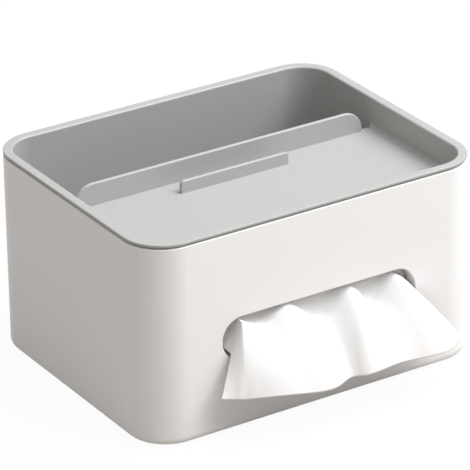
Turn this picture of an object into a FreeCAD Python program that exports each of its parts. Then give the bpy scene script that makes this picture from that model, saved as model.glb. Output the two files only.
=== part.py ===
import FreeCAD, Part
import math
import os
import Sketcher

# A tissue box holder: a moulded box with an oval slot in its front wall, a drop-in tray with a shallow
# front half and a deep bin behind a divider, four anti-slip pads, and a refill of tissues in the bay
# under the shallow half. Millimetres. The origin is the middle of the footprint on the table, +X runs
# to the right along the front, +Y to the back and +Z up. The front wall is the low Y side.

# Driving dimensions, one sheet cell each
DRIVING = [
    ("box_width", 200.0),
    ("box_depth", 156.6),
    ("box_height", 111.4),
    ("corner_radius", 22.0),
    ("base_rounding", 4.0),
    ("shell_wall", 2.5),
    ("shell_floor", 2.5),
    ("shell_edge_rounding", 0.5),
    ("slot_length", 115.5),
    ("slot_height", 23.5),
    ("slot_middle_height", 50.7),
    ("slot_edge_rounding", 0.7),
    ("slot_lip_wall", 1.8),
    ("slot_lip_gap", 0.5),
    ("foot_diameter", 16.0),
    ("foot_thickness", 1.6),
    ("foot_proud", 0.8),
    ("foot_inset", 27.0),
    ("foot_clearance", 0.2),
    ("foot_rounding", 0.4),
    ("rim_height", 1.4),
    ("rim_rounding", 0.4),
    ("rim_inner_rounding", 1.0),
    ("rim_under_rounding", 0.3),
    ("reveal_height", 1.0),
    ("reveal_depth", 1.4),
    ("tray_clearance", 0.4),
    ("tray_wall", 2.2),
    ("tray_floor", 2.2),
    ("tray_depth", 16.0),
    ("tray_floor_rounding", 2.0),
    ("divider_place", 12.3),
    ("divider_thickness", 2.2),
    ("divider_height", 12.0),
    ("divider_corner", 10.5),
    ("divider_end_gap", 8.0),
    ("edge_rounding", 0.6),
    ("phone_gap", 10.9),
    ("rib_thickness", 2.2),
    ("rib_length", 65.0),
    ("rib_height", 6.7),
    ("rib_corner", 2.0),
    ("bin_floor", 2.2),
    ("bin_floor_gap", 1.0),
    ("bin_front_corner", 5.0),
    ("bin_base_rounding", 6.5),
    ("bin_inner_rounding", 4.0),
    ("refill_end_gap", 9.5),
    ("refill_head_room", 4.5),
    ("refill_thickness", 58.0),
    ("refill_corner", 8.0),
    ("refill_rounding", 7.0),
    ("refill_front_gap", 6.0),
    ("refill_base_clearance", 1.3),
    ("film_thickness", 0.5),
    ("film_clearance", 0.3),
    ("mouth_inset", 1.0),
    ("tissue_thickness", 0.8),
    ("tissue_clearance", 1.3),
    ("tissue_tail_gap", 0.4),
    ("tissue_free_width", 150.0),
    ("tissue_free_height", 25.5),
    ("tissue_reach", 30.0),
]

doc = FreeCAD.newDocument("tissue_box_holder")
sizes = doc.addObject("Spreadsheet::Sheet", "sizes")
for row, (alias, size) in enumerate(DRIVING, start=1):
    sizes.set("A%d" % row, alias)
    sizes.set("B%d" % row, str(size))
    sizes.setAlias("B%d" % row, alias)
doc.recompute()

# Places and sizes that follow from the driving ones, as expressions in the sheet's aliases
SHELL_TOP = "(sizes.box_height - sizes.rim_height - sizes.reveal_height)"
SHELL_FLOOR_TOP = "(sizes.foot_proud + sizes.shell_floor)"
FRONT_FACE = "(-sizes.box_depth / 2)"
SKIRT_INSET = "(sizes.shell_wall + sizes.tray_clearance)"
INNER_INSET = "(sizes.shell_wall + sizes.tray_clearance + sizes.tray_wall)"
TRAY_FLOOR_TOP = "(sizes.box_height - sizes.tray_depth)"
TRAY_FLOOR_UNDER = "(sizes.box_height - sizes.tray_depth - sizes.tray_floor)"
BIN_UNDER = "(sizes.foot_proud + sizes.shell_floor + sizes.bin_floor_gap)"
BIN_FLOOR_TOP = "(sizes.foot_proud + sizes.shell_floor + sizes.bin_floor_gap + sizes.bin_floor)"
BIN_BACK_OF_DIVIDER = "(sizes.divider_place + sizes.divider_thickness)"
DIVIDER_LENGTH = "(sizes.box_width - 2 * %s - 2 * sizes.divider_end_gap)" % INNER_INSET
RIB_FRONT = "(sizes.divider_place - sizes.phone_gap - sizes.rib_thickness)"
DIVIDER_CORNER = "min(sizes.divider_corner; sizes.divider_height - sizes.edge_rounding)"
REFILL_WIDTH = "(sizes.box_width - 2 * sizes.shell_wall - 2 * sizes.refill_end_gap)"
REFILL_HEIGHT = "(%s - %s - sizes.refill_head_room)" % (TRAY_FLOOR_UNDER, SHELL_FLOOR_TOP)
REFILL_FRONT = "(%s + sizes.shell_wall + sizes.refill_front_gap)" % FRONT_FACE
REFILL_BACK = "(%s + sizes.refill_thickness)" % REFILL_FRONT
REFILL_TOP = "(%s + %s)" % (SHELL_FLOOR_TOP, REFILL_HEIGHT)
SLOT_LIP_DEPTH = "(sizes.refill_front_gap - sizes.slot_lip_gap)"
SHELL_INNER_ROUNDING = "(sizes.base_rounding - sizes.shell_wall)"
REFILL_LEAST_ROUNDING = "%s - sizes.refill_front_gap + sizes.refill_base_clearance" % SHELL_INNER_ROUNDING
REFILL_ROUNDING = "max(sizes.refill_rounding; %s)" % REFILL_LEAST_ROUNDING
FILM_INSET = "(sizes.film_thickness + sizes.film_clearance)"
TOUCH = 1e-4


def number(expression):
    """The present value of an expression in the sheet's aliases"""
    return float(sizes.evalExpression(expression))


def new_body(label):
    """An empty body whose label is the piece's name"""
    body = doc.addObject("PartDesign::Body", label)
    body.Label = label
    return body


def new_sketch(body, name, role, offset):
    """A sketch on one of the body's own origin planes, moved along the plane's normal"""
    plane = [item for item in body.Origin.OriginFeatures if item.Role == role][0]
    sketch = body.newObject("Sketcher::SketchObject", name)
    sketch.AttachmentSupport = [(plane, "")]
    sketch.MapMode = "FlatFace"
    sketch.setExpression("AttachmentOffset.Base.z", offset)
    return sketch


def constrain(sketch, expression, *terms):
    """One measured constraint, driven by an expression"""
    index = sketch.addConstraint(Sketcher.Constraint(*terms, number(expression)))
    sketch.setExpression("Constraints[%d]" % index, expression)


def corner_point(x, y):
    """A point in a sketch's own plane"""
    return FreeCAD.Vector(x, y, 0)


def draw_rectangle(sketch, width, low, high):
    """A rectangle centred on the sketch's upright axis, between two heights"""
    half, bottom, top = number(width) / 2, number(low), number(high)
    corners = [(-half, bottom), (half, bottom), (half, top), (-half, top)]
    for start, end in zip(corners, corners[1:] + corners[:1]):
        sketch.addGeometry(Part.LineSegment(corner_point(*start), corner_point(*end)))
    for line in range(4):
        sketch.addConstraint(Sketcher.Constraint("Coincident", line, 2, (line + 1) % 4, 1))
    for line, way in enumerate(("Horizontal", "Vertical", "Horizontal", "Vertical")):
        sketch.addConstraint(Sketcher.Constraint(way, line))
    constrain(sketch, width, "DistanceX", 0, 1, 0, 2)
    constrain(sketch, "(%s) / 2" % width, "DistanceX", -1, 1, 0, 2)
    constrain(sketch, low, "DistanceY", -1, 1, 0, 1)
    constrain(sketch, high, "DistanceY", -1, 1, 2, 1)


def draw_rounded_rectangle(sketch, width, low, high, low_radius, high_radius):
    """A rectangle as above, with tangent arcs of one radius at its low corners and one at its high ones"""
    half, bottom, top = number(width) / 2, number(low), number(high)
    under, over = number(low_radius), number(high_radius)
    turns = [
        (half - under, bottom + under, under, -90),
        (half - over, top - over, over, 0),
        (-half + over, top - over, over, 90),
        (-half + under, bottom + under, under, 180),
    ]
    arcs = []
    for x, y, radius, start in turns:
        circle = Part.Circle(corner_point(x, y), FreeCAD.Vector(0, 0, 1), radius)
        arcs.append(Part.ArcOfCircle(circle, math.radians(start), math.radians(start + 90)))
    for arc, following in zip(arcs, arcs[1:] + arcs[:1]):
        sketch.addGeometry(arc)
        sketch.addGeometry(Part.LineSegment(arc.EndPoint, following.StartPoint))
    for item in range(8):
        sketch.addConstraint(Sketcher.Constraint("Tangent", item, 2, (item + 1) % 8, 1))
    for line, way in ((1, "Vertical"), (3, "Horizontal"), (5, "Vertical"), (7, "Horizontal")):
        sketch.addConstraint(Sketcher.Constraint(way, line))
    sketch.addConstraint(Sketcher.Constraint("Equal", 0, 6))
    sketch.addConstraint(Sketcher.Constraint("Equal", 2, 4))
    constrain(sketch, low_radius, "Radius", 0)
    constrain(sketch, high_radius, "Radius", 2)
    constrain(sketch, width, "DistanceX", 5, 1, 1, 1)
    constrain(sketch, "(%s) / 2" % width, "DistanceX", -1, 1, 1, 1)
    constrain(sketch, low, "DistanceY", -1, 1, 7, 1)
    constrain(sketch, high, "DistanceY", -1, 1, 3, 1)


def draw_inset_outline(sketch, inset):
    """The box's rounded outline, moved inwards all round"""
    draw_rounded_rectangle(
        sketch,
        "sizes.box_width - 2 * %s" % inset,
        "-sizes.box_depth / 2 + %s" % inset,
        "sizes.box_depth / 2 - %s" % inset,
        "sizes.corner_radius - %s" % inset,
        "sizes.corner_radius - %s" % inset,
    )


def draw_long_oval(sketch, length, height, middle):
    """Two straight sides and two half-round ends, at a height above the sketch's origin"""
    radius, centre = number(height) / 2, number(middle)
    reach = number(length) / 2 - radius
    up = FreeCAD.Vector(0, 0, 1)
    right = Part.Circle(corner_point(reach, centre), up, radius)
    left = Part.Circle(corner_point(-reach, centre), up, radius)
    ends = [
        Part.ArcOfCircle(right, math.radians(-90), math.radians(90)),
        Part.ArcOfCircle(left, math.radians(90), math.radians(270)),
    ]
    sketch.addGeometry(ends[0])
    sketch.addGeometry(Part.LineSegment(ends[0].EndPoint, ends[1].StartPoint))
    sketch.addGeometry(ends[1])
    sketch.addGeometry(Part.LineSegment(ends[1].EndPoint, ends[0].StartPoint))
    for item in range(4):
        sketch.addConstraint(Sketcher.Constraint("Tangent", item, 2, (item + 1) % 4, 1))
    sketch.addConstraint(Sketcher.Constraint("Horizontal", 1))
    sketch.addConstraint(Sketcher.Constraint("Equal", 0, 2))
    constrain(sketch, "(%s) / 2" % height, "Radius", 0)
    constrain(sketch, "(%s) - (%s)" % (length, height), "DistanceX", 2, 3, 0, 3)
    constrain(sketch, "((%s) - (%s)) / 2" % (length, height), "DistanceX", -1, 1, 0, 3)
    constrain(sketch, middle, "DistanceY", -1, 1, 0, 3)


def draw_circle(sketch, diameter, across, along):
    """One circle at a place given by two expressions"""
    middle = corner_point(number(across), number(along))
    circle = sketch.addGeometry(Part.Circle(middle, FreeCAD.Vector(0, 0, 1), number(diameter) / 2))
    constrain(sketch, diameter, "Diameter", circle)
    constrain(sketch, across, "DistanceX", -1, 1, circle, 3)
    constrain(sketch, along, "DistanceY", -1, 1, circle, 3)


def pad(body, sketch, length, reverse=False):
    """Material added along the sketch's normal, or against it"""
    before = body.Shape.Volume if body.Tip else 0.0
    feature = body.newObject("PartDesign::Pad", sketch.Name + "_pad")
    feature.Profile = sketch
    feature.setExpression("Length", length)
    feature.Reversed = reverse
    doc.recompute()
    if body.Shape.Volume <= before:
        raise RuntimeError(feature.Name + " added nothing")


def pocket(body, sketch, length, reverse=False):
    """Material removed against the sketch's normal, or along it"""
    before = body.Shape.Volume
    feature = body.newObject("PartDesign::Pocket", sketch.Name + "_pocket")
    feature.Profile = sketch
    feature.setExpression("Length", length)
    feature.Reversed = reverse
    doc.recompute()
    if body.Shape.Volume >= before:
        raise RuntimeError(feature.Name + " removed nothing")


def round_edges(body, name, radius, chosen):
    """A fillet on the edges of the body that a test picks by their box"""
    base = body.Tip
    picked = []
    for index, edge in enumerate(base.Shape.Edges, start=1):
        if chosen(edge.BoundBox):
            picked.append("Edge%d" % index)
    if not picked:
        raise RuntimeError(name + " found no edge")
    feature = body.newObject("PartDesign::Fillet", name)
    feature.Base = (base, picked)
    feature.setExpression("Radius", radius)
    doc.recompute()
    if not feature.isValid():
        raise RuntimeError(name + " could not be rounded")


def lies_at(*heights):
    """A test for edges that lie flat at one of these heights"""
    levels = [number(height) for height in heights]
    return lambda box: any(abs(box.ZMin - z) < TOUCH and abs(box.ZMax - z) < TOUCH for z in levels)


FOOT_ACROSS = "(sizes.box_width / 2 - sizes.foot_inset)"
FOOT_ALONG = "(sizes.box_depth / 2 - sizes.foot_inset)"
FOOT_PLACES = {
    "foot_front_left": ("-" + FOOT_ACROSS, "-" + FOOT_ALONG),
    "foot_front_right": (FOOT_ACROSS, "-" + FOOT_ALONG),
    "foot_rear_left": ("-" + FOOT_ACROSS, FOOT_ALONG),
    "foot_rear_right": (FOOT_ACROSS, FOOT_ALONG),
}


def make_outer_shell():
    """The box: a rounded block, hollowed from the top, with the lipped front slot and seats for the pads"""
    body = new_body("outer_shell")
    outline = new_sketch(body, "shell_outline", "XY_Plane", "sizes.foot_proud")
    draw_inset_outline(outline, "0")
    pad(body, outline, "%s - sizes.foot_proud" % SHELL_TOP)

    hollow = new_sketch(body, "shell_hollow", "XY_Plane", SHELL_TOP)
    draw_inset_outline(hollow, "sizes.shell_wall")
    pocket(body, hollow, "%s - %s" % (SHELL_TOP, SHELL_FLOOR_TOP))
    round_edges(body, "shell_inner_edge", SHELL_INNER_ROUNDING, lies_at(SHELL_FLOOR_TOP))
    round_edges(body, "shell_base_edge", "sizes.base_rounding", lies_at("sizes.foot_proud"))
    round_edges(body, "shell_top_edge", "sizes.shell_edge_rounding", lies_at(SHELL_TOP))

    lip_length = "sizes.slot_length + 2 * sizes.slot_lip_wall"
    lip_height = "sizes.slot_height + 2 * sizes.slot_lip_wall"
    lip = new_sketch(body, "slot_lip", "XZ_Plane", "sizes.box_depth / 2 - sizes.shell_wall")
    draw_long_oval(lip, lip_length, lip_height, "sizes.slot_middle_height")
    pad(body, lip, SLOT_LIP_DEPTH, reverse=True)
    slot = new_sketch(body, "tissue_slot", "XZ_Plane", "sizes.box_depth / 2")
    draw_long_oval(slot, "sizes.slot_length", "sizes.slot_height", "sizes.slot_middle_height")
    pocket(body, slot, "sizes.shell_wall + sizes.refill_front_gap")
    slot_faces = (number(FRONT_FACE), number("%s + sizes.shell_wall + %s" % (FRONT_FACE, SLOT_LIP_DEPTH)))
    slot_low = number("sizes.slot_middle_height - sizes.slot_height")
    slot_high = number("sizes.slot_middle_height + sizes.slot_height")

    def rims_the_slot(box):
        flat = any(abs(box.YMin - y) < TOUCH and abs(box.YMax - y) < TOUCH for y in slot_faces)
        return flat and box.ZMin > slot_low and box.ZMax < slot_high

    round_edges(body, "slot_edge", "sizes.slot_edge_rounding", rims_the_slot)

    seats = new_sketch(body, "foot_seats", "XY_Plane", "sizes.foot_proud")
    for across, along in FOOT_PLACES.values():
        draw_circle(seats, "sizes.foot_diameter + 2 * sizes.foot_clearance", across, along)
    pocket(body, seats, "sizes.foot_thickness - sizes.foot_proud", reverse=True)
    return body


def make_foot(label, across, along):
    """One round pad, glued in its seat and standing proud of the base"""
    body = new_body(label)
    outline = new_sketch(body, label + "_outline", "XY_Plane", "0")
    draw_circle(outline, "sizes.foot_diameter", across, along)
    pad(body, outline, "sizes.foot_thickness")
    round_edges(body, label + "_edge", "sizes.foot_rounding", lies_at("0"))
    return body


def make_top_tray():
    """The drop-in tray: rim, shallow front half, stop rib, divider and the deep bin"""
    body = new_body("top_tray")
    lip = new_sketch(body, "rim_lip", "XY_Plane", "%s + sizes.reveal_height" % SHELL_TOP)
    draw_inset_outline(lip, "0")
    pad(body, lip, "sizes.rim_height")

    step = new_sketch(body, "rim_step", "XY_Plane", SHELL_TOP)
    draw_inset_outline(step, "sizes.reveal_depth")
    pad(body, step, "sizes.reveal_height")

    skirt = new_sketch(body, "tray_skirt", "XY_Plane", TRAY_FLOOR_UNDER)
    draw_inset_outline(skirt, SKIRT_INSET)
    pad(body, skirt, "%s - %s" % (SHELL_TOP, TRAY_FLOOR_UNDER))

    bin_block = new_sketch(body, "bin_block", "XY_Plane", BIN_UNDER)
    draw_rounded_rectangle(
        bin_block,
        "sizes.box_width - 2 * %s" % SKIRT_INSET,
        "sizes.divider_place",
        "sizes.box_depth / 2 - %s" % SKIRT_INSET,
        "sizes.bin_front_corner",
        "sizes.corner_radius - %s" % SKIRT_INSET,
    )
    pad(body, bin_block, "%s - %s" % (TRAY_FLOOR_UNDER, BIN_UNDER))

    shallow = new_sketch(body, "shallow_half", "XY_Plane", "sizes.box_height")
    draw_inset_outline(shallow, INNER_INSET)
    pocket(body, shallow, "sizes.tray_depth")
    round_edges(body, "tray_floor_edge", "sizes.tray_floor_rounding", lies_at(TRAY_FLOOR_TOP))

    above_floor_edge = "%s + sizes.tray_floor_rounding" % TRAY_FLOOR_TOP
    bin_hollow = new_sketch(body, "bin_hollow", "XY_Plane", above_floor_edge)
    draw_rounded_rectangle(
        bin_hollow,
        "sizes.box_width - 2 * %s" % INNER_INSET,
        BIN_BACK_OF_DIVIDER,
        "sizes.box_depth / 2 - %s" % INNER_INSET,
        "sizes.bin_front_corner - sizes.tray_wall",
        "sizes.corner_radius - %s" % INNER_INSET,
    )
    pocket(body, bin_hollow, "%s - %s" % (above_floor_edge, BIN_FLOOR_TOP))
    round_edges(body, "bin_inner_edge", "sizes.bin_inner_rounding", lies_at(BIN_FLOOR_TOP))
    round_edges(body, "bin_base_edge", "sizes.bin_base_rounding", lies_at(BIN_UNDER))

    add_upright(body, "divider", DIVIDER_LENGTH, "sizes.divider_place", "sizes.divider_thickness",
                "sizes.divider_height", DIVIDER_CORNER)
    add_upright(body, "stop_rib", "sizes.rib_length", RIB_FRONT, "sizes.rib_thickness",
                "sizes.rib_height", "sizes.rib_corner")

    on_top = lies_at("sizes.box_height")
    under = lies_at("%s + sizes.reveal_height" % SHELL_TOP)
    half_width, half_depth = number("sizes.box_width / 2"), number("sizes.box_depth / 2")

    def is_outer(box):
        at_side = max(-box.XMin, box.XMax) > half_width - TOUCH
        at_end = max(-box.YMin, box.YMax) > half_depth - TOUCH
        return at_side or at_end

    round_edges(body, "rim_inner_edge", "sizes.rim_inner_rounding",
                lambda box: on_top(box) and not is_outer(box))
    round_edges(body, "rim_edge", "sizes.rim_rounding", lambda box: on_top(box) and is_outer(box))
    round_edges(body, "rim_under_edge", "sizes.rim_under_rounding", lambda box: under(box) and is_outer(box))
    return body


def add_upright(body, name, length, front, thickness, height, corner):
    """A thin upright plate on the tray's floor, with rounded upper corners and softened top edges"""
    profile = new_sketch(body, name, "XZ_Plane", "-(%s)" % front)
    draw_rectangle(profile, length, TRAY_FLOOR_TOP, "%s + %s" % (TRAY_FLOOR_TOP, height))
    pad(body, profile, thickness, reverse=True)
    top = number("%s + %s" % (TRAY_FLOOR_TOP, height))
    near, far = number(front), number("%s + %s" % (front, thickness))

    def is_upper_corner(box):
        return (
            abs(box.ZMax - top) < TOUCH
            and box.ZLength < TOUCH
            and box.XLength < TOUCH
            and abs(box.YMin - near) < TOUCH
            and abs(box.YMax - far) < TOUCH
        )

    round_edges(body, name + "_corner", corner, is_upper_corner)
    floor = number(TRAY_FLOOR_TOP)

    def is_outer_line(box):
        on_a_face = box.YLength < TOUCH and (abs(box.YMin - near) < TOUCH or abs(box.YMin - far) < TOUCH)
        return on_a_face and box.ZMax > floor + TOUCH

    round_edges(body, name + "_edge", "sizes.edge_rounding", is_outer_line)


def make_tissue_wrap():
    """The refill's film bag: a thin closed box with rounded corners and an oval mouth facing the slot"""
    body = new_body("tissue_wrap")
    outline = new_sketch(body, "wrap_outline", "XY_Plane", SHELL_FLOOR_TOP)
    draw_refill_outline(outline, "0")
    pad(body, outline, REFILL_HEIGHT)

    ceiling = "%s - sizes.film_thickness" % REFILL_TOP
    floor = "%s + sizes.film_thickness" % SHELL_FLOOR_TOP
    inside = new_sketch(body, "wrap_inside", "XY_Plane", ceiling)
    draw_refill_outline(inside, "sizes.film_thickness")
    pocket(body, inside, "%s - (%s)" % (ceiling, floor))
    inner_rounding = "%s - sizes.film_thickness" % REFILL_ROUNDING
    round_edges(body, "wrap_inner_edge", inner_rounding, lies_at(floor, ceiling))
    round_edges(body, "wrap_outer_edge", REFILL_ROUNDING, lies_at(SHELL_FLOOR_TOP, REFILL_TOP))

    mouth = new_sketch(body, "wrap_mouth", "XZ_Plane", "-(%s)" % REFILL_FRONT)
    draw_long_oval(
        mouth,
        "sizes.slot_length - 2 * sizes.mouth_inset",
        "sizes.slot_height - 2 * sizes.mouth_inset",
        "sizes.slot_middle_height",
    )
    pocket(body, mouth, "sizes.film_thickness + sizes.film_clearance")
    return body


def draw_refill_outline(sketch, inset):
    """The standing refill seen from above, moved inwards all round"""
    draw_rounded_rectangle(
        sketch,
        "%s - 2 * %s" % (REFILL_WIDTH, inset),
        "%s + %s" % (REFILL_FRONT, inset),
        "%s - %s" % (REFILL_BACK, inset),
        "sizes.refill_corner - %s" % inset,
        "sizes.refill_corner - %s" % inset,
    )


def make_tissue_stack():
    """The block of folded tissues, standing on the bag's lower face"""
    body = new_body("tissue_stack")
    floor = "%s + sizes.film_thickness" % SHELL_FLOOR_TOP
    ceiling = "%s - %s" % (REFILL_TOP, FILM_INSET)
    outline = new_sketch(body, "stack_outline", "XY_Plane", floor)
    draw_refill_outline(outline, FILM_INSET)
    pad(body, outline, "%s - (%s)" % (ceiling, floor))
    round_edges(body, "stack_edge", "%s - %s" % (REFILL_ROUNDING, FILM_INSET), lies_at(floor, ceiling))
    return body


# The pulled tissue's edges and folds from left to right. Each has its height in the refill's mouth, its
# place across the slot and its height there, then its place across the free edge, how far that stands
# out from the front wall and its height, all as shares of the room in the slot, of half the free edge,
# of the tissue's reach and of the free edge's height. The last share says how much the fold bends on its
# way down, from a straight line to the full bend.
FOLDS = {
    "left_edge": (-0.50, -0.953, -0.627, -0.875, 0.31, 1.045, 0.2),
    "left_ridge": (0.75, -0.84, 0.97, -0.733, 0.476, 1.0, 0.3),
    "left_dip": (0.75, -0.60, 0.36, -0.495, 0.712, 1.0, 0.4),
    "middle_ridge": (0.78, -0.32, 0.961, -0.144, 0.78, 0.851, 0.4),
    "deep_valley": (0.75, 0.01, -0.38, 0.051, 0.68, 0.91, 0.5),
    "right_ridge": (0.78, 0.329, 0.90, 0.175, 0.80, 0.93, 0.6),
    "right_dip": (0.75, 0.54, -0.38, 0.444, 0.737, 0.93, 0.6),
    "outer_ridge": (0.75, 0.798, 0.87, 0.784, 0.834, 0.93, 0.5),
    "right_edge": (0.38, 0.972, 0.05, 1.00, 0.503, 0.93, 0.2),
}
TAIL_STEPS = 3
DROOP_STEPS = 8
# How soon the sheet gives up its height in the refill's mouth on its level way to the front: 1 is evenly
TAIL_SAG = 3.2
# How far the full bend of a fold stands along the way to the free edge: across, out and down
BEND_ACROSS = 0.5
BEND_OUT = 0.72
BEND_DOWN = 0.12


def fold_lines():
    """Points down each fold, from the tail in the refill through the slot to the free edge"""
    room_across = number("sizes.slot_length / 2 - sizes.tissue_clearance")
    room_up = number("sizes.slot_height / 2 - sizes.tissue_clearance - sizes.tissue_thickness / 2")
    middle = number("sizes.slot_middle_height")
    front = number("%s - sizes.tissue_clearance" % FRONT_FACE)
    tail_y = number("%s + %s - sizes.tissue_tail_gap" % (REFILL_FRONT, FILM_INSET))
    half_free = number("sizes.tissue_free_width / 2")
    free_height = number("sizes.tissue_free_height")
    reach = number("sizes.tissue_reach")
    lines = []
    for tail_up, across, up, across_free, out, rise, bend in FOLDS.values():
        x = across * room_across
        tail = FreeCAD.Vector(x, tail_y, middle + tail_up * room_up)
        leave = FreeCAD.Vector(x, front, middle + up * room_up)
        free = FreeCAD.Vector(across_free * half_free, front - out * reach, rise * free_height)
        fall = free - leave
        halfway = (leave + free) * 0.5
        over = leave + FreeCAD.Vector(BEND_ACROSS * fall.x, BEND_OUT * fall.y, BEND_DOWN * fall.z)
        turn = halfway + (over - halfway) * bend
        line = []
        for step in range(TAIL_STEPS):
            share = step / TAIL_STEPS
            point = tail + (leave - tail) * share
            point.z = tail.z + (leave.z - tail.z) * (1 - (1 - share)**TAIL_SAG)
            line.append(point)
        for step in range(DROOP_STEPS + 1):
            share = step / DROOP_STEPS
            rest = 1 - share
            line.append(leave * rest**2 + turn * (2 * share * rest) + free * share**2)
        lines.append(line)
    return lines


def flow_at(line, station):
    """The way the sheet runs at one station: level at its tail and in the slot's front, straight down at
    the free edge, and elsewhere from the station before to the one after"""
    if station in (0, TAIL_STEPS):
        return FreeCAD.Vector(0, -1, 0)
    if station == len(line) - 1:
        return FreeCAD.Vector(0, 0, -1)
    return line[station + 1] - line[station - 1]


def cross_lines(lines, station):
    """The edges across the sheet's upper face, with arcs over its folds, and those across its lower face"""
    thickness = number("sizes.tissue_thickness")
    points = [line[station] for line in lines]
    stops = [points[0]]
    for left, right in zip(points, points[1:]):
        stops += [(left + right) * 0.5, right]
    flows = [flow_at(line, station) for line in lines]
    faces = []
    for side in (0.5, -0.5):
        chain = []
        for index, stop in enumerate(stops):
            before, after = stops[max(index - 1, 0)], stops[min(index + 1, len(stops) - 1)]
            flow = flows[index // 2] + flows[(index + 1) // 2]
            normal = flow.cross(after - before).normalize()
            chain.append(stop + normal * (side * thickness))
        edges = [Part.LineSegment(chain[0], chain[1]).toShape()]
        for index in range(1, len(chain) - 2, 2):
            edges.append(Part.Arc(chain[index], chain[index + 1], chain[index + 2]).toShape())
        edges.append(Part.LineSegment(chain[-2], chain[-1]).toShape())
        faces.append(edges)
    return faces


def close_round(upper, lower):
    """A closed wire round the sheet at one station"""
    right = Part.LineSegment(upper[-1].lastVertex().Point, lower[-1].lastVertex().Point).toShape()
    left = Part.LineSegment(lower[0].firstVertex().Point, upper[0].firstVertex().Point).toShape()
    return Part.Wire(upper + [right] + lower[::-1] + [left])


def make_pulled_tissue():
    """One sheet: level in the refill's mouth, pleated through the slot, then falling in a fan"""
    lines = fold_lines()
    stations = [cross_lines(lines, station) for station in range(len(lines[0]))]
    faces = Part.makeLoft([close_round(upper, lower) for upper, lower in stations], False, True).Faces
    for upper, lower in (stations[0], stations[-1]):
        faces += [Part.makeRuledSurface(over, under) for over, under in zip(upper, lower)]
    skin = Part.makeShell(faces)
    skin.sewShape()
    sheet = Part.makeSolid(skin)
    if sheet.Volume < 0:
        sheet.reverse()
    piece = doc.addObject("Part::Feature", "pulled_tissue")
    piece.Label = "pulled_tissue"
    piece.Shape = sheet
    piece.Placement = FreeCAD.Placement()
    return piece


PIECES = [make_outer_shell(), make_top_tray()]
PIECES += [make_foot(label, across, along) for label, (across, along) in FOOT_PLACES.items()]
PIECES += [make_tissue_wrap(), make_tissue_stack(), make_pulled_tissue()]

doc.recompute()
for item in doc.Objects:
    if "Invalid" in item.State or "Error" in item.State:
        raise RuntimeError(item.Name + " failed: " + ", ".join(item.State))
for piece in PIECES:
    shape = piece.Shape
    if shape.isNull() or not shape.isValid() or len(shape.Solids) != 1 or shape.Volume <= 0:
        raise RuntimeError(piece.Label + " is not one sound solid")

os.makedirs("parts", exist_ok=True)
for piece in PIECES:
    piece.Shape.exportStep("parts/%s.step" % piece.Label)
    print("%-18s %10.1f mm3" % (piece.Label, piece.Shape.Volume))
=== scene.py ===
import math
import random

import bpy
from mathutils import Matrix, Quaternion, Vector, noise


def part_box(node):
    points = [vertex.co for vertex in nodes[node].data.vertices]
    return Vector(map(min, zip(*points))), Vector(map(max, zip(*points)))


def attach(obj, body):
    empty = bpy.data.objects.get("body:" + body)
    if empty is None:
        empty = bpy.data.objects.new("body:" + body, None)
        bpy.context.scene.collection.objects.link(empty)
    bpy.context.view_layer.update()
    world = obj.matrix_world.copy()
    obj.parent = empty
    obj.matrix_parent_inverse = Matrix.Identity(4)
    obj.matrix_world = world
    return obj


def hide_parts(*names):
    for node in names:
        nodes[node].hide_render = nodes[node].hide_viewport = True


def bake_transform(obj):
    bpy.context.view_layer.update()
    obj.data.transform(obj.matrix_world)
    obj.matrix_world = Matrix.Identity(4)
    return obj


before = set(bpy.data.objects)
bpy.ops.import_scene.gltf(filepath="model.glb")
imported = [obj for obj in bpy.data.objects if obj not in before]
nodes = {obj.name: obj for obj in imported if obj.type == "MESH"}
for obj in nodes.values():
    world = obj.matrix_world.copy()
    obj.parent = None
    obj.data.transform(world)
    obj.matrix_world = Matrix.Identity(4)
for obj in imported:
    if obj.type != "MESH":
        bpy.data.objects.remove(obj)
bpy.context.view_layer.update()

# The outer box is one injection moulding in white ABS, with a satin face from a lightly etched mould.
# It stands on the table and carries everything else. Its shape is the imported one, so only its finish
# is made here.

MM = 0.001


def linear(code):
    """An sRGB hex colour as the linear colour that a shader socket takes"""
    parts = [int(code[start:start + 2], 16) / 255 for start in (1, 3, 5)]
    return [c / 12.92 if c <= 0.04045 else ((c + 0.055) / 1.055) ** 2.4 for c in parts] + [1.0]


def add_node(tree, kind, inputs, **settings):
    """A node with its settings; an input is a plain value, or the socket that it is linked to"""
    node = tree.nodes.new(kind)
    for name, value in settings.items():
        setattr(node, name, value)
    for name, value in inputs.items():
        if isinstance(value, bpy.types.NodeSocket):
            tree.links.new(value, node.inputs[name])
        else:
            node.inputs[name].default_value = value
    return node


def start_material(name):
    """A new node material, its node tree and its main shader"""
    material = bpy.data.materials.new(name)
    material.use_nodes = True
    return material, material.node_tree, material.node_tree.nodes["Principled BSDF"]


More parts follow.
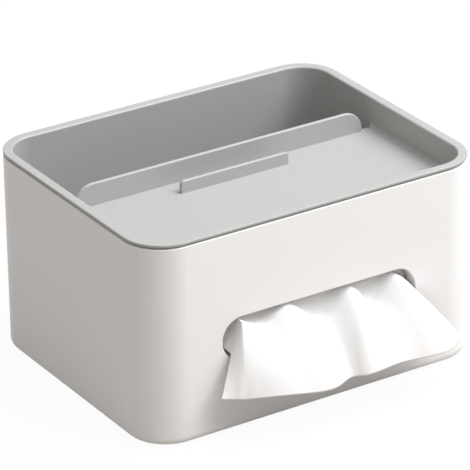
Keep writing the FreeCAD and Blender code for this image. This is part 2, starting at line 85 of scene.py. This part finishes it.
def finish_moulding(name, colour, paler, roughness, grain_depth):
    """Injection moulded plastic: an even colour, a faint etched grain and the slow waviness of a wall.
    The real grain is about 0.2 mm wide; it is drawn at 0.9 mm so that it shows in the render."""
    grain_width = 0.9 * MM
    patch_width = 45 * MM
    material, tree, shader = start_material(name)
    place = add_node(tree, "ShaderNodeTexCoord", {}).outputs["Object"]
    patches = add_node(
        tree, "ShaderNodeTexNoise", {"Vector": place, "Scale": 1 / patch_width, "Detail": 3.0}
    )
    tint = add_node(
        tree, "ShaderNodeMix",
        {"Factor": patches.outputs["Fac"], "A": linear(colour), "B": linear(paler)}, data_type="RGBA",
    )
    grain = add_node(tree, "ShaderNodeTexNoise", {"Vector": place, "Scale": 1 / grain_width, "Detail": 2.0})
    gloss = add_node(
        tree, "ShaderNodeMapRange",
        {"Value": grain.outputs["Fac"], "To Min": roughness - 0.05, "To Max": roughness + 0.05},
    )
    wall = add_node(
        tree, "ShaderNodeBump", {"Height": patches.outputs["Fac"], "Strength": 0.15, "Distance": 0.2 * MM}
    )
    etched = add_node(
        tree, "ShaderNodeBump",
        {"Height": grain.outputs["Fac"], "Strength": 0.35, "Distance": grain_depth,
         "Normal": wall.outputs["Normal"]},
    )
    tree.links.new(tint.outputs["Result"], shader.inputs["Base Color"])
    tree.links.new(gloss.outputs["Result"], shader.inputs["Roughness"])
    tree.links.new(etched.outputs["Normal"], shader.inputs["Normal"])
    shader.inputs["IOR"].default_value = 1.53
    return material


def dress(node_name, material):
    """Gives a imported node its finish"""
    slots = nodes[node_name].data.materials
    slots.clear()
    slots.append(material)


white_abs = finish_moulding("etched_white_abs", "#F0F0F0", "#F3F3F3", 0.42, 0.03 * MM)
dress("outer_shell", white_abs)

# Four round pads of pale thermoplastic rubber are stuck in shallow seats under the base. The matt,
# slightly open face of the rubber keeps the box from sliding.

PORE_SPACING = 0.8 * MM
pad_rubber, tree, shader = start_material("die_cut_pad_rubber")
place = add_node(tree, "ShaderNodeTexCoord", {}).outputs["Object"]
pores = add_node(tree, "ShaderNodeTexVoronoi", {"Vector": place, "Scale": 1 / PORE_SPACING})
pitted = add_node(
    tree, "ShaderNodeBump", {"Height": pores.outputs["Distance"], "Strength": 0.4, "Distance": 0.05 * MM}
)
# Painted shade: the rubber's colour darkens towards the middle of each pit, following the same field that
# sinks the pits in the bump
tint = add_node(
    tree, "ShaderNodeMix",
    {"Factor": pores.outputs["Distance"], "A": linear("#8F8E8B"), "B": linear("#A3A29F")}, data_type="RGBA",
)
tree.links.new(tint.outputs["Result"], shader.inputs["Base Color"])
tree.links.new(pitted.outputs["Normal"], shader.inputs["Normal"])
shader.inputs["Roughness"].default_value = 0.85
for side in ("front_left", "front_right", "rear_left", "rear_right"):
    dress("foot_" + side, pad_rubber)

# The drop-in tray is a second moulding, in pale grey ABS, with the same etched satin face. Its rim
# rests on the box's edge and its deep bin hangs behind the divider.

grey_abs = finish_moulding("etched_grey_abs", "#A8A8A6", "#ADADAB", 0.40, 0.03 * MM)
dress("top_tray", grey_abs)

# The refill's tissues are interfolded in a block that stands on edge, so the folds run along the box
# and lie one behind another. The real folds are about half a millimetre thick; they are drawn
# coarser so that they show.

stack_low, stack_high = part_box("tissue_stack")
LEAVES = 40
LEAF_SLACK = 0.8 * MM
LEAF_SHARE = 0.96
LEAF_ROUNDING = 0.45 * MM
LEAF_SLIP = 0.5 * MM
leaf_pitch = (stack_high.y - stack_low.y) / LEAVES
leaf_size = Vector((
    stack_high.x - stack_low.x - 2 * LEAF_SLACK,
    leaf_pitch * LEAF_SHARE,
    stack_high.z - stack_low.z - LEAF_SLACK,
))
leaf_middle = Vector((0, stack_low.y + leaf_pitch / 2, stack_low.z + leaf_size.z / 2))


def add_block(name, size, middle):
    """A cube at its size and place, with that in its mesh, selected alone"""
    bpy.ops.object.select_all(action="DESELECT")
    bpy.ops.mesh.primitive_cube_add(size=1, location=middle)
    piece = bpy.context.object
    piece.name = piece.data.name = name
    piece.scale = size
    bpy.ops.object.transform_apply(location=True, rotation=True, scale=True)
    return piece


def apply_modifier(piece, kind, **settings):
    """Adds a modifier with its settings and applies it"""
    modifier = piece.modifiers.new(kind.title(), kind)
    for name, value in settings.items():
        setattr(modifier, name, value)
    bpy.context.view_layer.objects.active = piece
    bpy.ops.object.modifier_apply(modifier=modifier.name)


stack = add_block("folded_tissues", leaf_size, leaf_middle)
apply_modifier(stack, "BEVEL", width=LEAF_ROUNDING, segments=3)
apply_modifier(stack, "ARRAY", count=LEAVES, use_relative_offset=False, use_constant_offset=True,
               constant_offset_displace=(0, leaf_pitch, 0))
draws = random.Random(11)
slips = [(draws.uniform(-LEAF_SLIP, LEAF_SLIP), draws.uniform(-LEAF_SLIP, 0)) for leaf in range(LEAVES)]
for vertex in stack.data.vertices:
    leaf = min(int((vertex.co.y - stack_low.y) / leaf_pitch), LEAVES - 1)
    across, down = slips[leaf]
    vertex.co.x += across
    if vertex.co.z > leaf_middle.z:
        vertex.co.z += down
bpy.ops.object.shade_smooth_by_angle(angle=math.radians(40))

# Creped tissue paper is matt and warm white, and its short fibres show as a soft fuzz on the leaves
FIBRE_LENGTH = 1.2 * MM
tissue_paper, tree, shader = start_material("creped_tissue_paper")
place = add_node(tree, "ShaderNodeTexCoord", {}).outputs["Object"]
fibres = add_node(
    tree, "ShaderNodeTexNoise", {"Vector": place, "Scale": 1 / FIBRE_LENGTH, "Detail": 4.0, "Roughness": 0.7}
)
creped = add_node(
    tree, "ShaderNodeBump", {"Height": fibres.outputs["Fac"], "Strength": 0.5, "Distance": 0.08 * MM}
)
tint = add_node(
    tree, "ShaderNodeMix",
    {"Factor": fibres.outputs["Fac"], "A": linear("#F1F0EE"), "B": linear("#F9F8F7")}, data_type="RGBA",
)
tree.links.new(tint.outputs["Result"], shader.inputs["Base Color"])
tree.links.new(creped.outputs["Normal"], shader.inputs["Normal"])
shader.inputs["Roughness"].default_value = 0.95
shader.inputs["Specular IOR Level"].default_value = 0.2
stack.data.materials.append(tissue_paper)
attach(stack, "box")
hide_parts("tissue_stack")

# The refill's bag is thin milky polyethylene film, drawn tight round the block and crinkled at its
# corners, with an oval mouth torn open at the front where the tissues come out.

wrap_low, wrap_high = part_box("tissue_wrap")
BAG_CUTS = 44
BAG_CORNER = 6 * MM
FILM = 0.12 * MM
CRINKLE = 0.55 * MM
CREASE_SIZE = 14 * MM
CRINKLED_EDGE = 30 * MM
CRINKLE_ON_FLATS = 0.35
MOUTH_LENGTH = 113.5 * MM
MOUTH_HEIGHT = 21.5 * MM
MOUTH_CUT_DEPTH = 12 * MM
slot_middle = 50.7 * MM
bag_half = (wrap_high - wrap_low) / 2
bag_middle = (wrap_low + wrap_high) / 2
bag = add_block("film_bag", bag_half * 2, bag_middle)
bpy.ops.object.mode_set(mode="EDIT")
bpy.ops.mesh.select_all(action="SELECT")
bpy.ops.mesh.subdivide(number_cuts=BAG_CUTS)
bpy.ops.object.mode_set(mode="OBJECT")
flat_half = bag_half - Vector((BAG_CORNER, BAG_CORNER, BAG_CORNER))
for vertex in bag.data.vertices:
    place_in_bag = vertex.co - bag_middle
    core = Vector([max(-half, min(half, c)) for c, half in zip(place_in_bag, flat_half)])
    outward = (place_in_bag - core).normalized()
    crease = 1 - abs(noise.noise(vertex.co / CREASE_SIZE))
    to_sides = sorted(half - abs(c) for c, half in zip(place_in_bag, bag_half))
    near_edge = 1 - min(1, to_sides[1] / CRINKLED_EDGE)
    depth = CRINKLE * crease**4 * (CRINKLE_ON_FLATS + (1 - CRINKLE_ON_FLATS) * near_edge)
    vertex.co = bag_middle + core + outward * (BAG_CORNER - depth)
apply_modifier(bag, "SOLIDIFY", thickness=FILM, offset=-1)

bpy.ops.object.select_all(action="DESELECT")
bpy.ops.mesh.primitive_cylinder_add(
    vertices=64, radius=MOUTH_HEIGHT / 2, depth=MOUTH_CUT_DEPTH,
    location=(0, wrap_low.y, slot_middle), rotation=(math.radians(90), 0, 0),
)
cutter = bpy.context.object
bpy.ops.object.transform_apply(location=True, rotation=True, scale=True)
for vertex in cutter.data.vertices:
    vertex.co.x += math.copysign((MOUTH_LENGTH - MOUTH_HEIGHT) / 2, vertex.co.x)
apply_modifier(bag, "BOOLEAN", object=cutter, operation="DIFFERENCE", solver="EXACT")
bpy.data.objects.remove(cutter)
bpy.ops.object.select_all(action="DESELECT")
bag.select_set(True)
bpy.context.view_layer.objects.active = bag
bpy.ops.object.shade_smooth_by_angle(angle=math.radians(50))

# Milky polyethylene is half clear and smooth, so its puckers carry bright, sharp highlights
PUCKER_WIDTH = 7 * MM
film, tree, shader = start_material("milky_polyethylene_film")
place = add_node(tree, "ShaderNodeTexCoord", {}).outputs["Object"]
puckers = add_node(
    tree, "ShaderNodeTexNoise",
    {"Vector": place, "Scale": 1 / PUCKER_WIDTH, "Detail": 3.0, "Distortion": 0.6},
)
crinkled = add_node(
    tree, "ShaderNodeBump", {"Height": puckers.outputs["Fac"], "Strength": 0.5, "Distance": 0.6 * MM}
)
tree.links.new(crinkled.outputs["Normal"], shader.inputs["Normal"])
shader.inputs["Base Color"].default_value = linear("#F4F5F6")
shader.inputs["Roughness"].default_value = 0.18
shader.inputs["IOR"].default_value = 1.51
shader.inputs["Alpha"].default_value = 0.5
bag.data.materials.append(film)
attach(bag, "box")
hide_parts("tissue_wrap")

# The pulled tissue is a creped two-ply sheet. Its hidden half is still folded in the refill; the
# other half leaves it level, pleats through the slot and falls in a fan in front of the box.

SHEET_WIDTH = 148 * MM
SHEET_LENGTH = 49.5 * MM
PLY = 0.2 * MM
# The sheet's edges and folds from left to right: height in the refill's mouth, place across the slot and
# height there, then place across the free edge, how far that stands out and its height, all as shares of
# the room that follows below, and last how much the fold bends on its way down
FOLDS = {
    "left_edge": (-0.50, -0.953, -0.627, -0.875, 0.31, 1.045, 0.2),
    "left_ridge": (0.75, -0.84, 0.97, -0.733, 0.476, 1.0, 0.3),
    "left_dip": (0.75, -0.60, 0.36, -0.495, 0.712, 1.0, 0.4),
    "middle_ridge": (0.78, -0.32, 0.961, -0.144, 0.78, 0.851, 0.4),
    "deep_valley": (0.75, 0.01, -0.38, 0.051, 0.68, 0.91, 0.5),
    "right_ridge": (0.78, 0.329, 0.90, 0.175, 0.80, 0.93, 0.6),
    "right_dip": (0.75, 0.54, -0.38, 0.444, 0.737, 0.93, 0.6),
    "outer_ridge": (0.75, 0.798, 0.87, 0.784, 0.834, 0.93, 0.5),
    "right_edge": (0.38, 0.972, 0.05, 1.00, 0.503, 0.93, 0.2),
}
SHARP_FOLD = list(FOLDS).index("left_ridge")
COLUMNS_PER_FOLD = 24
TAIL_ROWS, FALL_ROWS = 12, 64
TAIL_SAG = 3.2
BEND_ACROSS, BEND_OUT, BEND_DOWN = 0.5, 0.72, 0.12
SLOT_LENGTH = 115.5 * MM
SLOT_HEIGHT = 23.5 * MM
SOLID_PLY = 0.8 * MM
TAIL_GAP = 0.4 * MM
clear = 1.3 * MM
shell_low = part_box("outer_shell")[0]
front = shell_low.y - clear
room_across = SLOT_LENGTH / 2 - clear
room_up = SLOT_HEIGHT / 2 - clear - SOLID_PLY / 2
tail_y = wrap_low.y + TAIL_GAP
half_free = 75 * MM
free_height = 25.5 * MM
reach = 30 * MM


def fold_point(fold, row):
    """A point down one fold: from the tail in the refill, sagging through the slot, to the free edge"""
    tail_up, across, up, across_free, out, rise, bend = fold
    x = across * room_across
    leave = Vector((x, front, slot_middle + up * room_up))
    if row < TAIL_ROWS:
        tail = Vector((x, tail_y, slot_middle + tail_up * room_up))
        share = row / TAIL_ROWS
        point = tail.lerp(leave, share)
        point.z = tail.z + (leave.z - tail.z) * (1 - (1 - share)**TAIL_SAG)
        return point
    share = (row - TAIL_ROWS) / FALL_ROWS
    free = Vector((across_free * half_free, front - out * reach, rise * free_height))
    fall = free - leave
    halfway = (leave + free) / 2
    over = leave + Vector((BEND_ACROSS * fall.x, BEND_OUT * fall.y, BEND_DOWN * fall.z))
    turn = halfway.lerp(over, bend)
    return leave * (1 - share)**2 + turn * (2 * share * (1 - share)) + free * share**2


def across_folds(points, place):
    """A smooth line through one row's fold points, creased at the sharp one; place counts from the left"""
    index = min(int(place), len(points) - 2)
    share = place - index
    start, end = points[index], points[index + 1]
    before = start if index == SHARP_FOLD else points[max(index - 1, 0)]
    after = end if index + 1 == SHARP_FOLD else points[min(index + 2, len(points) - 1)]
    return 0.5 * (
        2 * start
        + (end - before) * share
        + (2 * before - 5 * start + 4 * end - after) * share**2
        + (3 * start - before - 3 * end + after) * share**3
    )


def wrinkle(across, down):
    """How far a point stands off the smooth folds: soft runs down the sheet, least in the slot"""
    broad_depth = 0.45 * MM
    fine_depth = 0.15 * MM
    freedom_in_slot = 0.3
    broad = noise.noise(Vector((10 * across, 0.9 * down, 1.5)))
    fine = noise.noise(Vector((27 * across, 2.2 * down, 5.0)))
    freedom = min(1, freedom_in_slot + 1.4 * down)
    return (broad_depth * broad + fine_depth * fine) * freedom


rows = TAIL_ROWS + FALL_ROWS
columns = (len(FOLDS) - 1) * COLUMNS_PER_FOLD
bpy.ops.object.select_all(action="DESELECT")
bpy.ops.mesh.primitive_grid_add(x_subdivisions=columns, y_subdivisions=rows, size=1, calc_uvs=True)
tissue = bpy.context.object
tissue.name = tissue.data.name = "pulled_tissue_sheet"
fold_rows = [[fold_point(fold, row) for fold in FOLDS.values()] for row in range(rows + 1)]
places = []
for vertex in tissue.data.vertices:
    row = round((0.5 - vertex.co.y) * rows)
    column = round((vertex.co.x + 0.5) * columns)
    places.append((column / columns, max(0, row - TAIL_ROWS) / FALL_ROWS))
    vertex.co = across_folds(fold_rows[row], column / COLUMNS_PER_FOLD)
normals = [vertex.normal.copy() for vertex in tissue.data.vertices]
for vertex, normal, (across, down) in zip(tissue.data.vertices, normals, places):
    vertex.co += normal * wrinkle(across, down)
apply_modifier(tissue, "SOLIDIFY", thickness=PLY, offset=0)
bpy.ops.object.shade_smooth()

# The thin sheet is matt and lets a little light through; its crepe runs across in fine short ridges. The
# real ridges are about 0.3 mm apart, and are drawn wider so that they show.
CREPE_LENGTH = 4 * MM
CREPE_SPACING = 0.8 * MM
sheet_paper, tree, shader = start_material("creped_tissue_sheet")
flat_place = add_node(tree, "ShaderNodeTexCoord", {}).outputs["UV"]
crepe_place = add_node(
    tree, "ShaderNodeVectorMath",
    {0: flat_place, 1: (SHEET_WIDTH / CREPE_LENGTH, SHEET_LENGTH / CREPE_SPACING, 1)}, operation="MULTIPLY",
)
crepe = add_node(
    tree, "ShaderNodeTexNoise",
    {"Vector": crepe_place.outputs[0], "Scale": 1.0, "Detail": 3.0, "Roughness": 0.6},
)
creped = add_node(
    tree, "ShaderNodeBump", {"Height": crepe.outputs["Fac"], "Strength": 0.4, "Distance": 0.1 * MM}
)
tint = add_node(
    tree, "ShaderNodeMix",
    {"Factor": crepe.outputs["Fac"], "A": linear("#E9E8E7"), "B": linear("#EFEEED")}, data_type="RGBA",
)
tree.links.new(tint.outputs["Result"], shader.inputs["Base Color"])
tree.links.new(creped.outputs["Normal"], shader.inputs["Normal"])
shader.inputs["Roughness"].default_value = 0.95
shader.inputs["Specular IOR Level"].default_value = 0.1
shader.inputs["Subsurface Weight"].default_value = 0.7
shader.inputs["Subsurface Radius"].default_value = (1.0, 1.0, 1.0)
shader.inputs["Subsurface Scale"].default_value = 0.6 * MM
tissue.data.materials.append(sheet_paper)
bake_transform(tissue)
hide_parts("pulled_tissue")

# The stage is a pale floor that runs on as the background, under one large soft lamp above, in front
# and to the right, with even soft light from the room.

FLOOR_SIZE = 8
FLOOR_DROP = 0.05 * MM
GLOW_SHARE = 0.95
bpy.ops.object.select_all(action="DESELECT")
bpy.ops.mesh.primitive_plane_add(size=FLOOR_SIZE, location=(0, 0, -FLOOR_DROP))
floor = bpy.context.object
floor.name = "studio_floor"
paper_sweep, tree, shader = start_material("white_paper_sweep")
path = add_node(tree, "ShaderNodeLightPath", {})
seen = add_node(
    tree, "ShaderNodeMath",
    {0: path.outputs["Is Camera Ray"], 1: path.outputs["Is Glossy Ray"]}, operation="MAXIMUM",
)
seen = add_node(
    tree, "ShaderNodeMath", {0: seen.outputs[0], 1: path.outputs["Is Transmission Ray"]}, operation="MAXIMUM"
)
tint = add_node(
    tree, "ShaderNodeMix",
    {"Factor": seen.outputs[0], "A": linear("#A39A93"), "B": linear("#E4E4E4")}, data_type="RGBA",
)
tree.links.new(tint.outputs["Result"], shader.inputs["Base Color"])
shader.inputs["Roughness"].default_value = 1.0
shader.inputs["Specular IOR Level"].default_value = 0.0
glow = add_node(tree, "ShaderNodeEmission", {"Color": linear("#FFFFFF"), "Strength": 1.0})
glow_share = add_node(tree, "ShaderNodeMath", {0: seen.outputs[0], 1: GLOW_SHARE}, operation="MULTIPLY")
mixed = add_node(
    tree, "ShaderNodeMixShader",
    {0: glow_share.outputs[0], 1: shader.outputs["BSDF"], 2: glow.outputs["Emission"]},
)
tree.links.new(mixed.outputs["Shader"], tree.nodes["Material Output"].inputs["Surface"])
floor.data.materials.append(paper_sweep)

world = bpy.data.worlds.new("soft_room")
bpy.context.scene.world = world
world.use_nodes = True
background = world.node_tree.nodes["Background"]
background.inputs["Color"].default_value = linear("#FFFDFB")
background.inputs["Strength"].default_value = 0.48

LAMP_DISTANCE = 1.6
lamp_way = Vector((0.40, -0.31, 0.863)).normalized()
bpy.ops.object.light_add(type="AREA", location=lamp_way * LAMP_DISTANCE)
lamp = bpy.context.object
lamp.name = "soft_lamp"
lamp.data.size = 1.4
lamp.data.energy = 41.5
lamp.data.color = linear("#FBFDFF")[:3]
lamp.rotation_mode = "QUATERNION"
lamp.rotation_quaternion = lamp_way.to_track_quat("Z", "Y")

# The camera stands to the left of the front and looks down on the box, far off and with a long lens,
# tipped a little to one side.

CAMERA_TURN = math.radians(-32.335)
CAMERA_RISE = math.radians(25.803)
CAMERA_ROLL = math.radians(-0.754)
CAMERA_DISTANCE = 1.9323
camera_target = Vector((0, 0, 56.8 * MM))
camera_back = Vector((
    math.sin(CAMERA_TURN) * math.cos(CAMERA_RISE),
    -math.cos(CAMERA_TURN) * math.cos(CAMERA_RISE),
    math.sin(CAMERA_RISE),
))
bpy.ops.object.camera_add(location=camera_target + camera_back * CAMERA_DISTANCE)
camera = bpy.context.object
camera.rotation_mode = "QUATERNION"
camera.rotation_quaternion = camera_back.to_track_quat("Z", "Y") @ Quaternion((0, 0, 1), CAMERA_ROLL)
camera.data.sensor_width = 36
camera.data.lens = 287.68
camera.data.shift_x = -0.0017
camera.data.shift_y = 0.0242
camera.data.clip_end = 20
bpy.context.scene.camera = camera
bpy.context.scene.view_settings.view_transform = "Standard"
